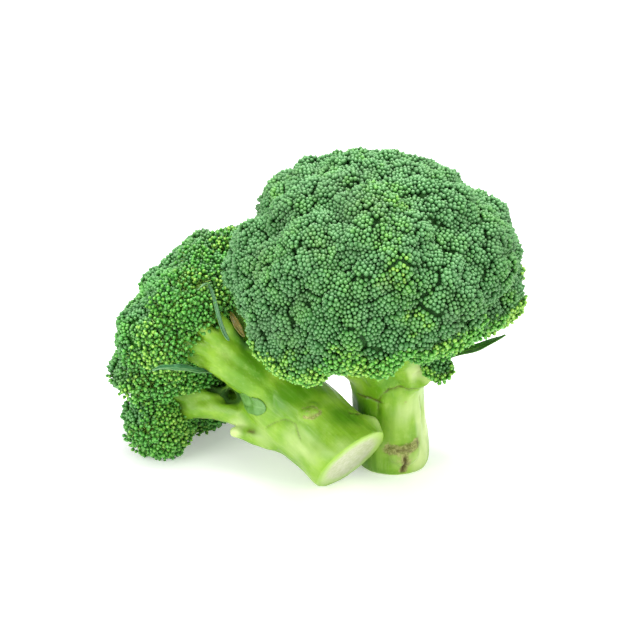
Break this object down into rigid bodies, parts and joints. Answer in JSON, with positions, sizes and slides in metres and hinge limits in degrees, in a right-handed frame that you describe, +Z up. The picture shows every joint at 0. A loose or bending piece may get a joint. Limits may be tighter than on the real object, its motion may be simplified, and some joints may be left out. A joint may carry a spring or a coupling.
{
  "type": "broccoli bunch",
  "caption": "Bunch of cut broccoli: a head standing on its flat-cut stalk and a head lying against it, each a domed crown of buds on branching limbs.",
  "frame": {"origin": "centre of the bunch's footprint, on the surface that it rests on", "axes": "+Z up along the standing head's stalk; +X along the longest side, from the lying crown to the standing head; +Y away from the side that shows the lying head's cut end"},
  "size_m": [0.2064, 0.1742, 0.1662],
  "materials": {
    "florets": null,
    "stalk": null,
    "leaves": null
  },
  "bodies": {
    "root": {"standing_crown": "florets", "standing_side_floret": "florets", "standing_stalk": "stalk", "standing_leaf": "leaves", "lying_crown": "florets", "lying_low_floret": "florets", "lying_stalk": "stalk", "lying_leaf_low": "leaves", "lying_leaf_high": "leaves", "lying_leaf_fork": "leaves"}
  },
  "joints": []
}
